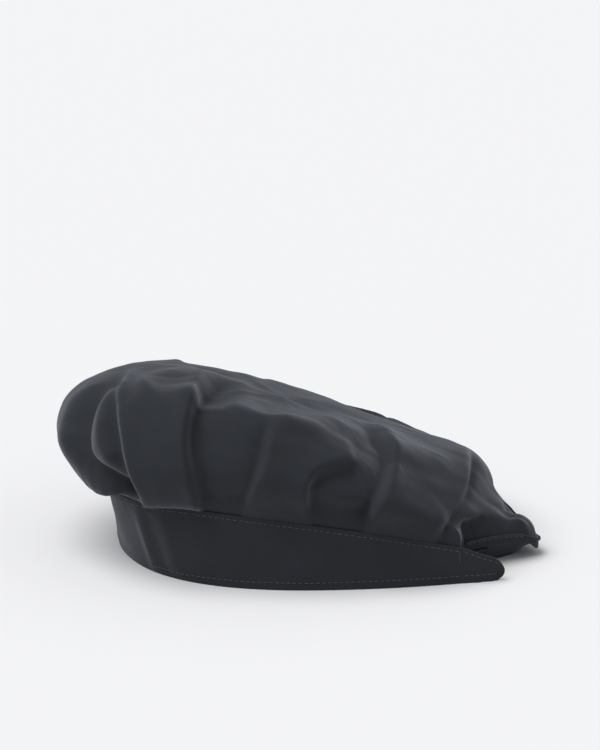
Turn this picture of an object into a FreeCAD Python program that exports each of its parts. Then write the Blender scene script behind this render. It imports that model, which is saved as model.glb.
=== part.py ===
import FreeCAD, Part
import math
import os

# A low, soft chef toque resting on its band. +Z is up, +X runs to the back closure, -X is the front.
# All lengths are in millimetres.

# Band
head_length = 216.0        # hem oval, front to back
head_width = 163.0         # hem oval, side to side
band_depth = 42.0          # cut depth of the band around the front
tab_depth = 19.0           # cut depth of the band where it meets the closure
taper_length = 135.0       # length over which the band narrows to the closure
back_stretch = 62.0        # length of the narrow band behind the closure, at the underlap's end
tab_reach = 22.0           # length of the free tab beyond the crown
tab_fall = 0.45            # its top edge comes down by this share of its depth
tip_round = 6.0            # length of its rounded tip
cloth = 0.5                # thickness of one band cloth
stiffener = 0.6            # thickness of the interfacing
stiffener_inset = 3.0      # interfacing stops this far short of the edges
ply_gap = 0.15             # air between two layers of the band
band_swell = 0.12          # how far the narrowing edge bows out, as a share of its climb
steepest_lean = 0.9        # the band leans out by at most this share of its depth

# Crown
crown_height = 103.0       # highest fold above the table
back_height = 50.0         # crown height where it drops to the closure
front_overhang = 26.4      # how far the crown hangs out past the band's seam at the front
side_overhang = 3.5        # how far it bulges past the seam at the sides
back_set_in = 25.9         # how far the crown draws in over the seam at the back
crown_shift = 8.0          # the crown's middle lies this far in front of the hem oval's
top_lean = 0.11            # the top falls by this much for each mm towards the far side
crown_wall = 1.0           # crown cloth with its pleat folds
pleats = 9                 # box pleats around the seam
pleat_rise = 2.2           # how far a pleat stands out of the wall
seam_gap = 0.3             # clearance between the crown's edge and the band's edge
top_flat = 14.0            # radius of the flat middle of the crown

# Trim
sweatband_depth = 24.0
sweatband_thick = 0.8
sweatband_lift = 2.0       # clear of the hem
binding_width = 7.0
binding_thick = 0.6
binding_inset = 3.0        # the tape on the crown's free edge stops this far from the band
tape_start = 4.0           # the hook tape starts this far along the tab
tape_margin = 2.0          # and stops this far inside its edges
tape_thick = 0.9
thread = 0.45              # width of a thread row
thread_rise = 0.25         # how far the thread stands out of the cloth
top_row = 2.3              # thread row below the crown seam
hem_row = 4.0              # thread row above the hem
tape_row = 1.2             # thread row inside the edge of the loop tape
row_inset = 1.0            # thread rows stop this far from the ends of the band
tab_row_start = 0.2
tab_row_share = 0.8        # share of the tab's reach that its thread rows cover
end_inset = 2.0            # tapes stop this far from the ends of the band
hinge_gap = 1.2            # open cloth between the band and the tab, so that the tab can swing
tack_length = 5.0
tack_width = 1.2
tack_inset = 0.3

tape_length = tab_reach - tape_start - tip_round

# Each line is one station of the band, from the root of the tab round the front to the underlap:
# hem along, hem across, seam along, seam across, in hundredths of the head length and width.
STATIONS = [
    (39.3, -43.4, 39.3, -41.9),
    (27.8, -46.8, 27.8, -44.1),
    (11.6, -49.7, 11.6, -46.0),
    (-4.6, -50.0, -5.6, -46.4),
    (-20.8, -45.0, -23.1, -43.7),
    (-33.3, -33.3, -37.0, -35.8),
    (-40.7, -16.0, -44.9, -20.4),
    (-43.1, 0.0, -45.9, -1.2),
    (-40.7, 19.6, -42.6, 19.6),
    (-30.6, 36.8, -31.5, 38.0),
    (-13.9, 46.6, -13.9, 48.5),
    (3.0, 48.5, 3.0, 50.0),
    (18.0, 43.5, 18.5, 45.0),
    (31.0, 32.5, 31.6, 33.8),
    (41.5, 18.5, 42.6, 19.5),
    (48.6, 6.5, 50.6, 6.2),
    (52.6, -3.0, 56.2, -5.0),
    (53.2, -10.5, 58.6, -14.5),
    (49.5, -16.8, 52.8, -21.6),
    (43.5, -22.3, 44.6, -28.0),
    (39.8, -25.8, 40.3, -31.9),
]
TANGENT_STEP = 0.004       # share of the band over which its direction is measured

band_thick = 2 * cloth + stiffener + 2 * ply_gap
tab_ply = (band_thick - ply_gap) / 2


def vector(x, y, z=0.0):
    return FreeCAD.Vector(x, y, z)


def plan_curve(points):
    curve = Part.BSplineCurve()
    curve.interpolate(points)
    return curve


def station_curve(column):
    points = [vector(row[column] * head_length / 100, row[column + 1] * head_width / 100) for row in STATIONS]
    return plan_curve(points)


HEM = station_curve(0)
SEAM = station_curve(2)
HEM_LENGTH = HEM.length()


def on_curve(curve, share):
    """Point of a curve at a share of its length, from 0 at the tab to 1 at the underlap."""
    return curve.value(curve.parameterAtDistance(curve.length() * share))


def cut_depth(share):
    """Depth of the band as cut, narrowing to both ends."""
    distance = max(min(share * HEM_LENGTH, (1 - share) * HEM_LENGTH - back_stretch), 0)
    climb = min(distance / taper_length, 1.0)
    swell = band_swell * math.sin(math.pi * climb)
    return tab_depth + (band_depth - tab_depth) * (climb + swell)


def band_edges(share):
    """Bottom and top point of the band at a share of its length."""
    low = on_curve(HEM, share)
    high = on_curve(SEAM, share)
    depth = cut_depth(share)
    lean = min(low.distanceToPoint(high), depth * steepest_lean)
    return low, vector(high.x, high.y, math.sqrt(depth ** 2 - lean ** 2))


def outward(share):
    """Level direction away from the head at a share of the band's length."""
    before = on_curve(HEM, max(share - TANGENT_STEP, 0))
    after = on_curve(HEM, min(share + TANGENT_STEP, 1))
    along = after.sub(before).normalize()
    return vector(-along.y, along.x)


def band_point(share, height, sink):
    """Point of the band: height in mm from the hem along the cloth, sink in mm in from its face."""
    low, high = band_edges(share)
    up = high.sub(low)
    along_cloth = low.add(up.normalize().multiply(height))
    return along_cloth.sub(outward(share).multiply(sink))


def sheet_face(grid):
    surface = Part.BSplineSurface()
    surface.interpolate(grid)
    return surface


def border(surface, side):
    first_u, last_u, first_v, last_v = surface.bounds()
    if side == "start":
        return surface.uIso(first_u).toShape()
    if side == "end":
        return surface.uIso(last_u).toShape()
    if side == "low":
        return surface.vIso(first_v).toShape()
    return surface.vIso(last_v).toShape()


def sheet_solid(outer_grid, inner_grid, flat_low=False):
    """A closed solid between two grids of points. flat_low closes its level lower edge with a plane."""
    outer = sheet_face(outer_grid)
    inner = sheet_face(inner_grid)
    faces = [outer.toShape(), inner.toShape()]
    for side in ("start", "end", "low", "high"):
        first = border(outer, side)
        second = border(inner, side)
        if flat_low and side == "low":
            faces.append(flat_bridge(first, second))
        else:
            faces += bridge(first, second)
    return closed_solid(faces)


def flat_bridge(first, second):
    """The plane between two edges that lie at one level."""
    links = []
    for corner in (0, -1):
        links.append(Part.makeLine(first.Vertexes[corner].Point, second.Vertexes[corner].Point))
    edges = Part.sortEdges([first, links[1], second, links[0]])[0]
    return Part.Face(Part.Wire(edges))


def bridge(first, second):
    """The narrow face between the same edge of two sheets."""
    return Part.makeLoft([Part.Wire(first), Part.Wire(second)], False, True).Faces


def closed_solid(faces):
    shell = Part.makeShell(faces)
    shell.sewShape()
    solid = Part.makeSolid(Part.Shell(shell.Faces))
    if solid.Volume < 0:
        solid.reverse()
    return solid


def shares(first, last, count):
    return [first + (last - first) * k / (count - 1) for k in range(count)]


BAND_SHARES = shares(0.0, 1.0, 81)


def strip_shares(first, last):
    """Every layer is measured at the same places, so that neighbouring layers stay parallel."""
    least = 0.3 / (len(BAND_SHARES) - 1)
    inside = [share for share in BAND_SHARES if first + least < share < last - least]
    if len(inside) < 3:
        return shares(first, last, 5)
    return [first] + inside + [last]


def band_strip(first, last, low, high, outside, thick, rows=4, flat_low=False):
    """A layer of the band. low and high are functions of the share that give mm above the hem."""
    outer = []
    inner = []
    for share in strip_shares(first, last):
        bottom = low(share)
        top = high(share)
        heights = [bottom + (top - bottom) * k / (rows - 1) for k in range(rows)]
        outer.append([band_point(share, height, outside) for height in heights])
        inner.append([band_point(share, height, outside + thick) for height in heights])
    return sheet_solid(outer, inner, flat_low)


def cloth_length(share):
    low, high = band_edges(share)
    return low.distanceToPoint(high)


def band_outer():
    return band_strip(0, 1, lambda s: 0.0, cloth_length, 0.0, cloth, flat_low=True)


def band_interfacing():
    end = stiffener_inset / HEM_LENGTH
    return band_strip(
        end, 1 - end,
        lambda s: stiffener_inset,
        lambda s: cloth_length(s) - stiffener_inset,
        cloth + ply_gap, stiffener)


def band_facing():
    return band_strip(0, 1, lambda s: 0.0, cloth_length, band_thick - cloth, cloth, flat_low=True)


def sweatband():
    end = taper_length / HEM_LENGTH
    return band_strip(
        end, 1 - end - back_stretch / HEM_LENGTH,
        lambda s: sweatband_lift,
        lambda s: sweatband_lift + sweatband_depth,
        band_thick + ply_gap, sweatband_thick)


def thread_row(first, last, middle):
    return band_strip(
        first, last,
        lambda s: middle(s) - thread / 2,
        lambda s: middle(s) + thread / 2,
        -thread_rise - ply_gap, thread_rise, rows=2)


def top_stitching():
    end = row_inset / HEM_LENGTH
    return thread_row(end, 1 - end, lambda s: cloth_length(s) - top_row)


def hem_stitching():
    end = row_inset / HEM_LENGTH
    return thread_row(end, 1 - end, lambda s: hem_row)


def seam_binding():
    """Folded tape over the raw edge of the crown seam, hanging inside the top of the band."""
    end = end_inset / HEM_LENGTH
    return band_strip(
        end, 1 - end,
        lambda s: cloth_length(s) - binding_width,
        cloth_length,
        band_thick + ply_gap, binding_thick)


# The tab: a flat sheet that starts at the root of the band and swings about a post there.

TAB_ROOT_LOW, TAB_ROOT_HIGH = band_edges(0)
TAB_BLUNT = 0.985          # the rounded end stops just short of its point


def tab_axis():
    """Unit vectors of the tab: back along its cloth, and away from the head."""
    out = outward(0)
    return vector(-out.y, out.x), out


def tab_point(reach, height, sink):
    back, out = tab_axis()
    place = TAB_ROOT_LOW.add(back.multiply(hinge_gap + reach)).sub(out.multiply(sink))
    return place.add(vector(0, 0, height))


def tab_depth_at(reach):
    return TAB_ROOT_HIGH.z * (1 - tab_fall * reach / tab_reach)


def tab_span(reach):
    """Lowest and highest mm of the tab's outline at a reach from its root."""
    past = max(reach - (tab_reach - tip_round), 0) / tip_round
    middle = tab_depth_at(reach) / 2
    half = middle * math.sqrt(1 - min(past, TAB_BLUNT) ** 2)
    return middle - half, middle + half


tape_depth = tab_depth_at(tape_start + tape_length) - 2 * tape_margin
tape_middle = tape_margin + tape_depth / 2


def tab_strip(first, last, outside, thick, low=None, high=None):
    outer = []
    inner = []
    for reach in shares(first, last, 25):
        bottom, top = tab_span(reach)
        bottom = bottom if low is None else low(reach)
        top = top if high is None else high(reach)
        heights = [bottom + (top - bottom) * k / 3 for k in range(4)]
        outer.append([tab_point(reach, height, outside) for height in heights])
        inner.append([tab_point(reach, height, outside + thick) for height in heights])
    return sheet_solid(outer, inner)


def tab_outer():
    return tab_strip(0, tab_reach, 0.0, tab_ply)


def tab_facing():
    return tab_strip(0, tab_reach, tab_ply + ply_gap, tab_ply)


def hook_tape():
    return tab_strip(
        tape_start, tape_start + tape_length, band_thick + ply_gap, tape_thick,
        low=lambda r: tape_middle - tape_depth / 2, high=lambda r: tape_middle + tape_depth / 2)


def tab_stitching():
    last = tab_reach * tab_row_share
    high_row = tab_strip(
        tab_row_start, last, -thread_rise - ply_gap, thread_rise,
        low=lambda r: tab_span(r)[1] - top_row - thread / 2,
        high=lambda r: tab_span(r)[1] - top_row + thread / 2)
    low_row = tab_strip(
        tab_row_start, last, -thread_rise - ply_gap, thread_rise,
        low=lambda r: tab_span(r)[0] + hem_row - thread / 2,
        high=lambda r: tab_span(r)[0] + hem_row + thread / 2)
    return Part.makeCompound([high_row, low_row])


def tape_span():
    """First and last share of the band that the loop tape covers."""
    return 1 - (tape_length + end_inset) / HEM_LENGTH, 1 - end_inset / HEM_LENGTH


# The loop tape lies over the hem's thread row.
LOOP_TAPE_FACE = -tape_thick - thread_rise - 2 * ply_gap


def loop_tape():
    first, last = tape_span()
    return band_strip(
        first, last,
        lambda s: tape_middle - tape_depth / 2,
        lambda s: tape_middle + tape_depth / 2,
        LOOP_TAPE_FACE, tape_thick)


def loop_stitching():
    first, last = tape_span()
    along = tape_row / HEM_LENGTH
    rows = []
    for sign in (-1, 1):
        row = tape_middle + sign * (tape_depth / 2 - tape_row)
        rows.append(band_strip(
            first + along, last - along,
            lambda s: row - thread / 2,
            lambda s: row + thread / 2,
            LOOP_TAPE_FACE - ply_gap - thread_rise, thread_rise, rows=2))
    return Part.makeCompound(rows)


def bar_tacks():
    """Dense bars of thread across the band's top edge at both ends of the back opening."""
    bars = []
    wide = tack_width / HEM_LENGTH
    inset = tack_inset / HEM_LENGTH
    for first in (inset, 1 - inset - wide):
        bars.append(band_strip(
            first, first + wide,
            lambda s: cloth_length(s) - top_row - thread - tack_length,
            lambda s: cloth_length(s) - top_row - thread,
            -thread_rise * 2 - ply_gap, thread_rise * 2, rows=2))
    return Part.makeCompound(bars)


# The crown: a closed shell through level rings of control points, from the seam to its flat middle.

AROUND = 72                # points of each ring
RING_RISES = [0, 0.06, 0.14, 0.24, 0.34, 0.44, 0.54, 0.64, 0.74, 0.85, 0.95, 1.0]
PUFF_POWER = 2.4           # 2 is an oval, more is squarer
WIDEST_RISE = 0.36         # share of the way up at which the crown is widest
TURN_IN_RISE = 0.40        # from here it turns in to the top
FULL_RISE = 0.72           # from here it is at its full height
SHOULDER_POWER = 1.8       # more is a squarer shoulder
LIFT_POWER = 1.15
HIGH_END = -0.37           # the top is level in front of this share of the head length
LOW_END = 0.43             # and reaches the back height here

SEAM_FRONT = -min(row[2] for row in STATIONS) * head_length / 100
SEAM_BACK = max(row[2] for row in STATIONS) * head_length / 100
SEAM_SIDE = max(row[3] for row in STATIONS) * head_width / 100
FREE_START = band_edges(1)[1]
FREE_END = TAB_ROOT_HIGH
SEWN_SHARE = SEAM.length() / (SEAM.length() + FREE_START.distanceToPoint(FREE_END))


def seam_ring(share):
    """The crown's lower edge: the band's top edge, then the free edge across the back opening."""
    if share <= SEWN_SHARE:
        return band_edges(share / SEWN_SHARE)[1]
    step = (share - SEWN_SHARE) / (1 - SEWN_SHARE)
    return FREE_START.add(FREE_END.sub(FREE_START).multiply(step))


def crown_top(x, y):
    """Height of the crown's top: high at the front, falling to the closure and to the far side."""
    low_x = head_length * LOW_END
    high_x = head_length * HIGH_END
    climb = min((low_x - x) / (low_x - high_x), 1.0)
    return back_height + (crown_height - back_height) * climb - top_lean * (y + head_width / 4)


def puff_radius(out):
    """Distance from the crown's middle to the widest line of the puffed cloth, in a direction."""
    if out.x < 0:
        along = SEAM_FRONT + front_overhang - crown_shift
    else:
        along = SEAM_BACK - back_set_in + crown_shift
    side = SEAM_SIDE + side_overhang
    return ((abs(out.x) / along) ** PUFF_POWER + (abs(out.y) / side) ** PUFF_POWER) ** (-1 / PUFF_POWER)


def crown_point(share, rise, sink):
    """Point of the crown. rise runs from 0 at the seam to 1 at the flat middle."""
    seam = seam_ring(share)
    centre = vector(-crown_shift, 0)
    out = vector(seam.x, seam.y).sub(centre)
    radius = out.Length
    out.normalize()
    swell = math.sin(math.pi / 2 * min(rise / WIDEST_RISE, 1))
    shrink = max(rise - TURN_IN_RISE, 0) / (1 - TURN_IN_RISE)
    pleat = pleat_rise * math.cos(2 * math.pi * pleats * share) * (1 - rise) * min(rise / RING_RISES[2], 1)
    wide = radius + (puff_radius(out) - radius) * swell + pleat
    body = wide * (1 - shrink ** SHOULDER_POWER) + top_flat * shrink ** SHOULDER_POWER
    place = centre.add(vector(out.x, out.y).multiply(body - sink * (1 - shrink)))
    lift = math.sin(math.pi / 2 * min(rise / FULL_RISE, 1)) ** LIFT_POWER
    foot = seam.z + seam_gap
    height = foot + (crown_top(place.x, place.y) - foot) * lift - sink * lift
    return vector(place.x, place.y, height)


def ring_surface(rows):
    """Smooth closed surface through rings of control points, open at its first and last ring."""
    count = len(rows[0])
    poles = [[rows[r][k] for r in range(len(rows))] for k in range(count)]
    surface = Part.BSplineSurface()
    last = len(rows) - 2
    v_knots = [float(k) for k in range(last)]
    v_mults = [4] + [1] * (last - 2) + [4]
    u_knots = [float(k) for k in range(count + 1)]
    u_mults = [1] * (count + 1)
    surface.buildFromPolesMultsKnots(poles, u_mults, v_mults, u_knots, v_knots, True, False, 3, 3)
    return surface


def crown():
    skins = []
    for sink in (0.0, crown_wall):
        rows = []
        for rise in RING_RISES:
            rows.append([crown_point(k / AROUND, rise, sink) for k in range(AROUND)])
        skins.append(ring_surface(rows))
    outer, inner = skins
    faces = [outer.toShape(), inner.toShape()]
    faces += bridge(border(outer, "low"), border(inner, "low"))
    for skin in skins:
        rim = Part.Wire(border(skin, "high"))
        faces.append(Part.makeFilledFace(rim.Edges))
    return closed_solid(faces)


def opening_binding():
    """Narrow tape on the crown's free edge, between the tab's root and the underlap."""
    run = FREE_END.sub(FREE_START)
    level = vector(run.x, run.y)
    slope = run.z / level.Length
    reach = level.Length - binding_inset
    level.normalize()
    corners = []
    for along, drop in ((binding_inset, 0), (reach, 0), (reach, 1), (binding_inset, 1)):
        point = FREE_START.add(vector(level.x, level.y).multiply(along))
        corners.append(point.add(vector(0, 0, slope * along - drop * binding_width / 2)))
    corners.append(corners[0])
    face = Part.Face(Part.makePolygon(corners))
    return face.extrude(vector(level.y, -level.x).multiply(binding_thick))


NODES = {
    "crown": crown,
    "band_outer": band_outer,
    "band_interfacing": band_interfacing,
    "band_facing": band_facing,
    "sweatband": sweatband,
    "seam_binding": seam_binding,
    "opening_binding": opening_binding,
    "tab_outer": tab_outer,
    "tab_facing": tab_facing,
    "hook_tape": hook_tape,
    "loop_tape": loop_tape,
    "top_stitching": top_stitching,
    "hem_stitching": hem_stitching,
    "tab_stitching": tab_stitching,
    "loop_stitching": loop_stitching,
    "bar_tacks": bar_tacks,
}

os.makedirs("parts", exist_ok=True)
shapes = {name: make() for name, make in NODES.items()}
whole = Part.makeCompound(list(shapes.values())).BoundBox
to_middle = vector(-(whole.XMin + whole.XMax) / 2, -(whole.YMin + whole.YMax) / 2)
for name, shape in shapes.items():
    moved = shape.translated(to_middle)
    moved.exportStep("parts/" + name + ".step")
    print(name, len(moved.Solids), "solids", round(moved.Volume, 1), "mm3", "sound:", moved.isValid())
print("tab turns about", TAB_ROOT_LOW.sub(tab_axis()[1].multiply(band_thick)).add(to_middle))
print("hem rests at", band_point(0.2, 0.0, cloth / 2).add(to_middle))
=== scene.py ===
import math

import bpy
import numpy as np
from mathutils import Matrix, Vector, noise


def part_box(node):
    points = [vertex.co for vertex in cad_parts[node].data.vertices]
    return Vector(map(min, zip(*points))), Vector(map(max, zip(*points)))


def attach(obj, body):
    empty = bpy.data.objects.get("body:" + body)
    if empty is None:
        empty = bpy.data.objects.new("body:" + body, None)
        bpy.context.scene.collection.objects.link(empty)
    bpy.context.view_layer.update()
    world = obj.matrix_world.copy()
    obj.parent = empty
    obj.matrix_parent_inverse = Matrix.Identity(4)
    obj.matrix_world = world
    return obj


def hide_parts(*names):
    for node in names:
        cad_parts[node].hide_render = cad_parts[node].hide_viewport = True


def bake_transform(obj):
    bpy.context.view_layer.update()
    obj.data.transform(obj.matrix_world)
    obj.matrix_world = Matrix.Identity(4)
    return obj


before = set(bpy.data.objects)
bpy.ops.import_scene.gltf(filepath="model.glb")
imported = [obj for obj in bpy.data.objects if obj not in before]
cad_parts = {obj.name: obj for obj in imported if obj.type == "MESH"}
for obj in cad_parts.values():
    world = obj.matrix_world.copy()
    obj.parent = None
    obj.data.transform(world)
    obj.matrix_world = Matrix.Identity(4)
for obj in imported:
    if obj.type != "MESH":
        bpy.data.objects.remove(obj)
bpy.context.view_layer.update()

# The table, the light and the camera.
# The hat lies on a white table under one wide overhead light, in a white room. A long lens looks at
# its side from a little above.

VIEW_TILT = math.radians(18.0)
TARGET = Vector((0.0, 0.0, 0.0905))
DISTANCE = 8.0
FRAME_HEIGHT = 0.390
SENSOR_MM = 36.0
TABLE_WIDTH = 8.0
ROOM_STRENGTH = 0.40
LAMP_PLACE = (-0.45, -0.10, 1.0)
LAMP_SPREAD = math.radians(55.0)
LAMP_STRENGTH = 2.15

lens = bpy.data.cameras.new("lens")
lens.sensor_width = SENSOR_MM
lens.lens = SENSOR_MM * DISTANCE / FRAME_HEIGHT
camera = bpy.data.objects.new("camera", lens)
camera.location = TARGET + Vector((0, -math.cos(VIEW_TILT), math.sin(VIEW_TILT))) * DISTANCE
camera.rotation_euler = (math.pi / 2 - VIEW_TILT, 0, 0)
bpy.context.collection.objects.link(camera)
bpy.context.scene.camera = camera
bpy.context.scene.view_settings.view_transform = "Standard"


def linear(hex_colour, gain=1.0):
    """An sRGB colour given as #RRGGBB, as the shader wants it, made lighter or darker by gain."""
    values = [int(hex_colour[k:k + 2], 16) / 255 for k in (1, 3, 5)]
    return [gain * (v / 12.92 if v <= 0.04045 else ((v + 0.055) / 1.055) ** 2.4) for v in values] + [1.0]


def add_node(material, kind, settings=None, links=None):
    """Adds one shader node, with its settings by socket or property name and its inputs linked."""
    node = material.node_tree.nodes.new(kind)
    for name, value in (settings or {}).items():
        if hasattr(node, name):
            setattr(node, name, value)
        else:
            node.inputs[name].default_value = value
    for name, output in (links or {}).items():
        material.node_tree.links.new(output, node.inputs[name])
    return node


def new_material(name):
    """A material with no nodes but its output."""
    material = bpy.data.materials.new(name)
    material.use_nodes = True
    material.node_tree.nodes.clear()
    return material, add_node(material, "ShaderNodeOutputMaterial")


bpy.ops.object.select_all(action="DESELECT")
bpy.ops.mesh.primitive_plane_add(size=TABLE_WIDTH, location=(0, 0, 0))
table = bpy.context.object
table.name = "table"
white, white_output = new_material("white_laminate_table")
white_shader = add_node(white, "ShaderNodeBsdfPrincipled", {
    "Base Color": linear("#F4F4F4"), "Roughness": 0.95, "Specular IOR Level": 0.0})
white.node_tree.links.new(white_shader.outputs[0], white_output.inputs["Surface"])
table.data.materials.append(white)

room = bpy.data.worlds.new("white_room")
room.use_nodes = True
room.node_tree.nodes["Background"].inputs["Color"].default_value = linear("#FAFBFF")
room.node_tree.nodes["Background"].inputs["Strength"].default_value = ROOM_STRENGTH
bpy.context.scene.world = room
overhead = bpy.data.lights.new("overhead_lamp", "SUN")
overhead.angle = LAMP_SPREAD
overhead.energy = LAMP_STRENGTH
overhead_lamp = bpy.data.objects.new("overhead_lamp", overhead)
overhead_lamp.location = LAMP_PLACE
overhead_lamp.rotation_euler = (-Vector(LAMP_PLACE)).to_track_quat("-Z", "Y").to_euler()
bpy.context.collection.objects.link(overhead_lamp)

# The band's outer cloth.
# One long strip of charcoal polycotton twill, cut deep round the front of the head and narrow at both
# ends, turned under at the hem. It stands on the table as an open ring and runs on into a free tab.

HEAD_LENGTH = 0.216
HEAD_WIDTH = 0.163
BAND_DEPTH = 0.042
TAB_DEPTH = 0.019
TAPER = 0.135
BACK_STRETCH = 0.062
SWELL = 0.12
STEEPEST_LEAN = 0.9
TAB_REACH = 0.0232
TAB_FALL = 0.45
TIP_ROUND = 0.006
# the share of the tip's rounding that is drawn, so that its end stays a short edge
TIP_SHARE = 0.985
# the distance past its root over which the leaning tab comes upright
TAB_UPRIGHT = 0.012
CLOTH = 0.0005
RING = 1201
TAB_COLUMNS = 27
# edges that turn more sharply than this stay crisp
CRISP_ANGLE = math.radians(50)
# hem along, hem across, seam along, seam across, in hundredths of the head's length and width
STATIONS = [
    (39.3, -43.4, 39.3, -41.9), (27.8, -46.8, 27.8, -44.1), (11.6, -49.7, 11.6, -46.0),
    (-4.6, -50.0, -5.6, -46.4), (-20.8, -45.0, -23.1, -43.7), (-33.3, -33.3, -37.0, -35.8),
    (-40.7, -16.0, -44.9, -20.4), (-43.1, 0.0, -45.9, -1.2), (-40.7, 19.6, -42.6, 19.6),
    (-30.6, 36.8, -31.5, 38.0), (-13.9, 46.6, -13.9, 48.5), (3.0, 48.5, 3.0, 50.0),
    (18.0, 43.5, 18.5, 45.0), (31.0, 32.5, 31.6, 33.8), (41.5, 18.5, 42.6, 19.5),
    (48.6, 6.5, 50.6, 6.2), (52.6, -3.0, 56.2, -5.0), (53.2, -10.5, 58.6, -14.5),
    (49.5, -16.8, 52.8, -21.6), (43.5, -22.3, 44.6, -28.0), (39.8, -25.8, 40.3, -31.9),
]


def smooth_curve(points, count):
    """Evenly spaced points along the smooth curve that passes through a few given ones."""
    points = np.asarray(points, float)
    gaps = np.linalg.norm(np.diff(points, axis=0), axis=1)
    at = np.concatenate([[0], np.cumsum(gaps)])
    last = len(points) - 1
    system = np.eye(last + 1)
    right = np.zeros_like(points)
    for k in range(1, last):
        system[k, k - 1:k + 2] = gaps[k - 1], 2 * (gaps[k - 1] + gaps[k]), gaps[k]
        right[k] = 6 * ((points[k + 1] - points[k]) / gaps[k] - (points[k] - points[k - 1]) / gaps[k - 1])
    bends = np.linalg.solve(system, right)
    fine = np.linspace(0, at[-1], 6 * count)
    k = np.clip(np.searchsorted(at, fine, side="right") - 1, 0, last - 1)
    gap = gaps[k][:, None]
    b = (fine - at[k])[:, None] / gap
    a = 1 - b
    curve = a * points[k] + b * points[k + 1]
    curve += ((a ** 3 - a) * bends[k] + (b ** 3 - b) * bends[k + 1]) * gap ** 2 / 6
    run = np.concatenate([[0], np.cumsum(np.linalg.norm(np.diff(curve, axis=0), axis=1))])
    even = np.linspace(0, run[-1], count)
    return np.stack([np.interp(even, run, column) for column in curve.T], axis=1)


def ease(t):
    """A smooth step from 0 to 1."""
    t = np.clip(t, 0, 1)
    return t * t * (3 - 2 * t)


size = np.array([HEAD_LENGTH, HEAD_WIDTH]) / 100
hem_line = smooth_curve([np.array(row[:2]) * size for row in STATIONS], RING)
seam_line = smooth_curve([np.array(row[2:]) * size for row in STATIONS], RING)
low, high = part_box("band_outer")
plan = np.concatenate([hem_line, seam_line])
to_frame = (np.array(low[:2]) + np.array(high[:2]) - plan.min(axis=0) - plan.max(axis=0)) / 2
hem_line += to_frame
seam_line += to_frame

HEM_LENGTH = np.linalg.norm(np.diff(hem_line, axis=0), axis=1).sum()
share_line = np.linspace(0, 1, RING)
from_ends = np.minimum(share_line * HEM_LENGTH, (1 - share_line) * HEM_LENGTH - BACK_STRETCH)
climb = np.clip(from_ends / TAPER, 0, 1)
depth_line = TAB_DEPTH + (BAND_DEPTH - TAB_DEPTH) * (climb + SWELL * np.sin(math.pi * climb))
lean_line = np.minimum(np.linalg.norm(seam_line - hem_line, axis=1), depth_line * STEEPEST_LEAN)
hem_points = np.column_stack([hem_line, np.zeros(RING)])
seam_points = np.column_stack([seam_line, np.sqrt(depth_line ** 2 - lean_line ** 2)])
along_line = np.gradient(hem_line, axis=0)
along_line /= np.linalg.norm(along_line, axis=1, keepdims=True)
out_points = np.column_stack([-along_line[:, 1], along_line[:, 0], np.zeros(RING)])


def at_share(points, share):
    """Values of a line of points at shares of the band's length, from 0 at the tab to 1 at the underlap."""
    return np.stack([np.interp(share, share_line, column) for column in points.T], axis=-1)


def band_depth(share):
    """Depth of the band's cloth at a share of its length."""
    return np.linalg.norm(at_share(seam_points, share) - at_share(hem_points, share), axis=-1)


def band_rumple(run, level):
    """How far the standing band bows out of its even line: a crease at the corner of the front, a hollow
    and a lesser crease beside it, and slight waves. run is in metres from the tab's root, level from 0 at
    the hem to 1 at the seam."""
    corner = 0.0013 * np.exp(-((run - 0.1655 + 0.004 * (level - 0.5)) / 0.0035) ** 2)
    hollow = -0.0010 * np.exp(-((run - 0.1575) / 0.0045) ** 2) * (1 - 0.4 * level)
    second = 0.0006 * np.exp(-((run - 0.1495) / 0.0045) ** 2)
    waves = 0.00030 * np.sin(run * 95 + 2.2 * level) + 0.00022 * np.sin(run * 171 - 3.1 * level + 1.0)
    seam_pull = 0.00010 * np.sin(run * 900) * level ** 4
    held = np.sin(math.pi * np.clip(level, 0, 1)) ** 0.5
    return (corner + hollow + second + waves) * held * 0.9 + seam_pull


def band_place(share, height, sink=0.0):
    """Points of the band: share of its length, height up its cloth, sink in from its face."""
    share, height, sink = np.broadcast_arrays(share, height, sink)
    foot = at_share(hem_points, share)
    up = at_share(seam_points, share) - foot
    depth = np.linalg.norm(up, axis=-1)
    bow = band_rumple(share * HEM_LENGTH, height / depth) - sink
    return foot + up * (height / depth)[..., None] + at_share(out_points, share) * bow[..., None]


tab_root = band_place(0.0, 0.0)
tab_back = -np.append(along_line[0], 0.0)
tab_lean = (seam_points[0] - hem_points[0]) / np.linalg.norm(seam_points[0] - hem_points[0])


def tab_span(reach):
    """Lowest and highest edge of the tab at a distance past the root: it narrows to a rounded tip."""
    past = np.clip((reach - TAB_REACH + TIP_ROUND) / TIP_ROUND, 0, TIP_SHARE)
    middle = TAB_DEPTH * (1 - TAB_FALL * reach / TAB_REACH) / 2
    half = middle * np.sqrt(1 - past ** 2)
    return middle - half, middle + half


def tab_place(reach, height, sink=0.0):
    """Points of the tab: reach past its root, height up its cloth, sink in from its face."""
    reach, height, sink = np.broadcast_arrays(reach, height, sink)
    upright = ease(reach / TAB_UPRIGHT)[..., None]
    up = tab_lean * (1 - upright) + np.array([0, 0, 1.0]) * upright
    ripple = 0.00035 * np.sin(reach * 900) * np.exp(-((height - 0.004) / 0.005) ** 2) * ease(reach / 0.004)
    bow = ripple + 0.0004 * np.sin(reach * 210) * ease(reach / 0.006)
    return (tab_root + tab_back * reach[..., None] + up * height[..., None]
            + out_points[0] * (bow - sink)[..., None])


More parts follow.
